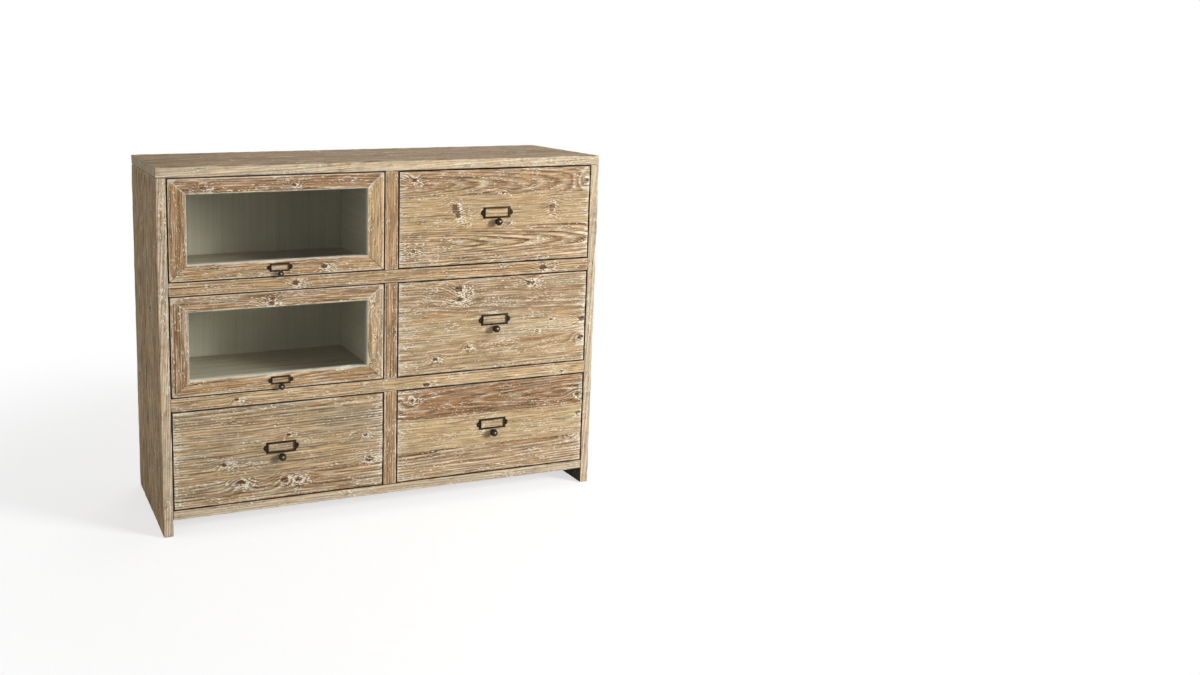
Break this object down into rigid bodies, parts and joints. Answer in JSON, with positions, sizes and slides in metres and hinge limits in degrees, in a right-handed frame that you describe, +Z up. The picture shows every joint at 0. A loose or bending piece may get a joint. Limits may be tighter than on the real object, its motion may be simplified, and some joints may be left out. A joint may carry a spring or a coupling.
{
  "type": "apothecary chest",
  "caption": "Floor-standing limed pine apothecary chest with glazed lift-up flaps and inset drawers, each with a label holder and a ball knob.",
  "frame": {"origin": "middle of the footprint at floor level, with the knobs' reach counted in the depth", "axes": "+X to the right as seen from the front, along the width; +Y to the back, the front faces -Y; +Z up"},
  "size_m": [1.2, 0.414, 0.925],
  "materials": {
    "limed_pine_case": "lime-washed, wire-brushed, waxed",
    "limed_pine_fronts": "lime-washed, wire-brushed, waxed",
    "limed_pine_flaps": "lime-washed, wire-brushed, waxed",
    "painted_pine": "thin pale grey-green paint",
    "plain_pine": "bare planed pine",
    "glass": "clear",
    "dark_bronze": "dark antique patina, rubbed on the high points",
    "steel": "plain steel"
  },
  "bodies": {
    "carcass": {"top_board": "limed_pine_case", "left_side": "limed_pine_case", "right_side": "limed_pine_case", "upper_rail": "limed_pine_case", "lower_rail": "limed_pine_case", "bottom_rail": "limed_pine_case", "centre_stiles": "limed_pine_case", "centre_partition": "painted_pine", "upper_shelf": "painted_pine", "lower_shelf": "painted_pine", "back_boards": "painted_pine", "bottom_board": "plain_pine", "drawer_runners": "plain_pine", "stop_blocks": "plain_pine", "back_nails": "steel"},
    "upper_flap": {"upper_flap_stiles": "limed_pine_flaps", "upper_flap_rails": "limed_pine_flaps", "upper_flap_glass": "glass", "upper_flap_beads": "painted_pine", "upper_flap_pivot_pins": "steel", "upper_flap_label_holder": "dark_bronze", "upper_flap_label_pins": "dark_bronze", "upper_flap_knob": "dark_bronze"},
    "lower_flap": {"lower_flap_stiles": "limed_pine_flaps", "lower_flap_rails": "limed_pine_flaps", "lower_flap_glass": "glass", "lower_flap_beads": "painted_pine", "lower_flap_pivot_pins": "steel", "lower_flap_label_holder": "dark_bronze", "lower_flap_label_pins": "dark_bronze", "lower_flap_knob": "dark_bronze"},
    "top_right_drawer": {"top_right_drawer_front": "limed_pine_fronts", "top_right_drawer_sides": "plain_pine", "top_right_drawer_back": "plain_pine", "top_right_drawer_bottom": "plain_pine", "top_right_drawer_label_holder": "dark_bronze", "top_right_drawer_label_pins": "dark_bronze", "top_right_drawer_knob": "dark_bronze"},
    "middle_right_drawer": {"middle_right_drawer_front": "limed_pine_fronts", "middle_right_drawer_sides": "plain_pine", "middle_right_drawer_back": "plain_pine", "middle_right_drawer_bottom": "plain_pine", "middle_right_drawer_label_holder": "dark_bronze", "middle_right_drawer_label_pins": "dark_bronze", "middle_right_drawer_knob": "dark_bronze"},
    "bottom_right_drawer": {"bottom_right_drawer_front": "limed_pine_fronts", "bottom_right_drawer_sides": "plain_pine", "bottom_right_drawer_back": "plain_pine", "bottom_right_drawer_bottom": "plain_pine", "bottom_right_drawer_label_holder": "dark_bronze", "bottom_right_drawer_label_pins": "dark_bronze", "bottom_right_drawer_knob": "dark_bronze"},
    "bottom_left_drawer": {"bottom_left_drawer_front": "limed_pine_fronts", "bottom_left_drawer_sides": "plain_pine", "bottom_left_drawer_back": "plain_pine", "bottom_left_drawer_bottom": "plain_pine", "bottom_left_drawer_label_holder": "dark_bronze", "bottom_left_drawer_label_pins": "dark_bronze", "bottom_left_drawer_knob": "dark_bronze"}
  },
  "joints": [
    {"name": "upper_flap_hinge", "type": "hinge", "parent": "carcass", "child": "upper_flap", "pos_m": [-0.2965, -0.175, 0.8825], "axis": [-1, 0, 0], "range_deg": [0, 100]},
    {"name": "lower_flap_hinge", "type": "hinge", "parent": "carcass", "child": "lower_flap", "pos_m": [-0.2965, -0.175, 0.5935], "axis": [-1, 0, 0], "range_deg": [0, 100]},
    {"name": "top_right_drawer_slide", "type": "slide", "parent": "carcass", "child": "top_right_drawer", "axis": [0, -1, 0], "range_m": [0, 0.28]},
    {"name": "middle_right_drawer_slide", "type": "slide", "parent": "carcass", "child": "middle_right_drawer", "axis": [0, -1, 0], "range_m": [0, 0.28]},
    {"name": "bottom_right_drawer_slide", "type": "slide", "parent": "carcass", "child": "bottom_right_drawer", "axis": [0, -1, 0], "range_m": [0, 0.28]},
    {"name": "bottom_left_drawer_slide", "type": "slide", "parent": "carcass", "child": "bottom_left_drawer", "axis": [0, -1, 0], "range_m": [0, 0.28]}
  ]
}
